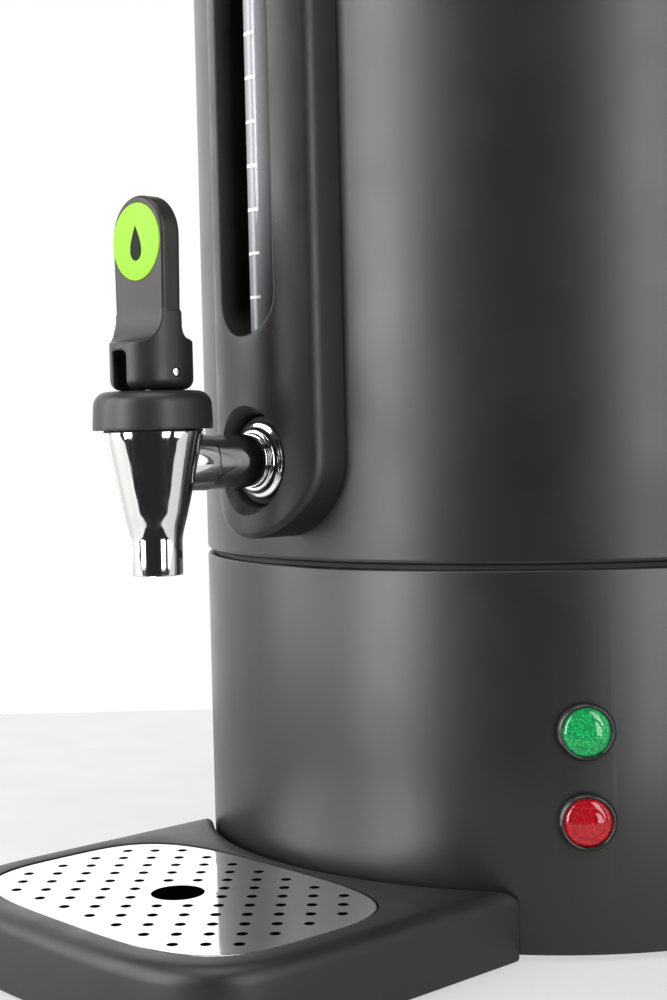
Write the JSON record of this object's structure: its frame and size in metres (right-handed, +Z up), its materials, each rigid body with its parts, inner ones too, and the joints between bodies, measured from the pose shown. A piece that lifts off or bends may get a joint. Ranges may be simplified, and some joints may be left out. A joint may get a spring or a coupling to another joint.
{
  "type": "coffee urn",
  "caption": "Round countertop coffee urn with a lever tap, a sight-glass level gauge, lift-off lid and percolator basket, two side handles, indicator lamps and a drip tray.",
  "frame": {"origin": "on the counter, under the urn's upright axis", "axes": "+Z up along the urn's axis; the tap and drip tray face -Y; the power inlet faces +Y; the lamps are on the +X side of the front"},
  "size_m": [0.332, 0.3738, 0.4475],
  "materials": {
    "matt_black_coat": "matt",
    "black_plastic": "satin",
    "black_rubber": "matt",
    "brushed_steel": "brushed",
    "polished_steel": "polished",
    "chrome": "polished",
    "brass": "machined",
    "clear_silicone": "satin",
    "gauge_glass": "clear",
    "lime_badge": "satin",
    "green_lens": "gloss",
    "red_lens": "gloss",
    "cast_aluminium": "cast"
  },
  "bodies": {
    "urn": {"base_housing": "matt_black_coat", "base_plate": "brushed_steel", "foot_front_left": "black_rubber", "foot_rear_left": "black_rubber", "foot_front_right": "black_rubber", "foot_rear_right": "black_rubber", "seam_ring": "black_plastic", "outer_casing": "matt_black_coat", "inner_tank": "brushed_steel", "top_rim": "black_plastic", "heater_plate": "cast_aluminium", "heating_element": "brushed_steel", "thermostat": "black_plastic", "thermal_fuse": "black_plastic", "reset_switch": "black_plastic", "gauge_housing": "black_plastic", "sight_glass": "gauge_glass", "gauge_lower_fitting": "brass", "gauge_upper_fitting": "brass", "gauge_lower_seal": "black_rubber", "gauge_upper_seal": "black_rubber", "tap_body": "chrome", "tap_washer": "black_rubber", "tap_escutcheon": "chrome", "tap_inner_seal": "clear_silicone", "tap_lock_nut": "brass", "tap_bonnet": "black_plastic", "green_lamp_bezel": "black_plastic", "green_lamp_lens": "green_lens", "green_lamp_nut": "black_plastic", "red_lamp_bezel": "black_plastic", "red_lamp_lens": "red_lens", "red_lamp_nut": "black_plastic", "left_handle": "black_plastic", "right_handle": "black_plastic", "handle_screw_left_front": "brushed_steel", "handle_screw_left_rear": "brushed_steel", "handle_screw_right_front": "brushed_steel", "handle_screw_right_rear": "brushed_steel", "inlet_plate": "black_plastic", "power_inlet": "black_plastic", "rocker_frame": "black_plastic"},
    "lid": {"lid": "brushed_steel", "lid_seal": "clear_silicone", "lid_knob": "black_plastic", "knob_screw": "brushed_steel"},
    "percolator": {"riser_tube": "brushed_steel", "coffee_basket": "brushed_steel"},
    "basket_lid": {"basket_cover": "brushed_steel"},
    "valve": {"tap_stem": "brushed_steel", "tap_seat_cup": "clear_silicone", "tap_spring": "brushed_steel"},
    "lever": {"tap_lever": "black_plastic", "lever_badge": "lime_badge", "lever_pin": "chrome"},
    "tray": {"drip_tray": "black_plastic"},
    "grid": {"drip_grid": "polished_steel"},
    "rocker": {"power_rocker": "black_plastic"},
    "reset": {"reset_button": "red_lens"}
  },
  "joints": [
    {"name": "lid_lift", "type": "slide", "parent": "urn", "child": "lid", "axis": [0, 0, 1], "range_m": [0, 0.34]},
    {"name": "percolator_lift", "type": "slide", "parent": "urn", "child": "percolator", "axis": [0, 0, 1], "range_m": [0, 0.275]},
    {"name": "basket_cover_lift", "type": "slide", "parent": "percolator", "child": "basket_lid", "axis": [0, 0, 1], "range_m": [0, 0.03]},
    {"name": "tap_stem_lift", "type": "slide", "parent": "urn", "child": "valve", "axis": [0, 0, 1], "range_m": [0, 0.0075], "deforming": ["tap_spring"]},
    {"name": "tap_lever_tilt", "type": "hinge", "parent": "valve", "child": "lever", "pos_m": [0, -0.1867, 0.1931], "axis": [1, 0, 0], "range_deg": [0, 45], "stiffness_Nm_per_rad": 0.2, "springref_deg": -17.19},
    {"name": "drip_tray_slide", "type": "slide", "parent": "urn", "child": "tray", "axis": [0, -1, 0], "range_m": [0, 0.15]},
    {"name": "drip_grid_lift", "type": "slide", "parent": "tray", "child": "grid", "axis": [0, 0, 1], "range_m": [0, 0.06]},
    {"name": "power_rocker_tilt", "type": "hinge", "parent": "urn", "child": "rocker", "pos_m": [0, 0.1276, 0.079], "axis": [-1, 0, 0], "range_deg": [0, 14]},
    {"name": "reset_button_press", "type": "slide", "parent": "urn", "child": "reset", "axis": [0, 0, 1], "range_m": [0, 0.003], "stiffness_N_per_m": 200, "springref_m": -0.002}
  ],
  "couplings": [
    {"joint": "percolator_lift", "follows": "lid_lift", "ratio": 0.8},
    {"joint": "basket_cover_lift", "follows": "lid_lift", "ratio": 0.08},
    {"joint": "tap_stem_lift", "follows": "tap_lever_tilt", "m_per_rad": 0.009}
  ]
}
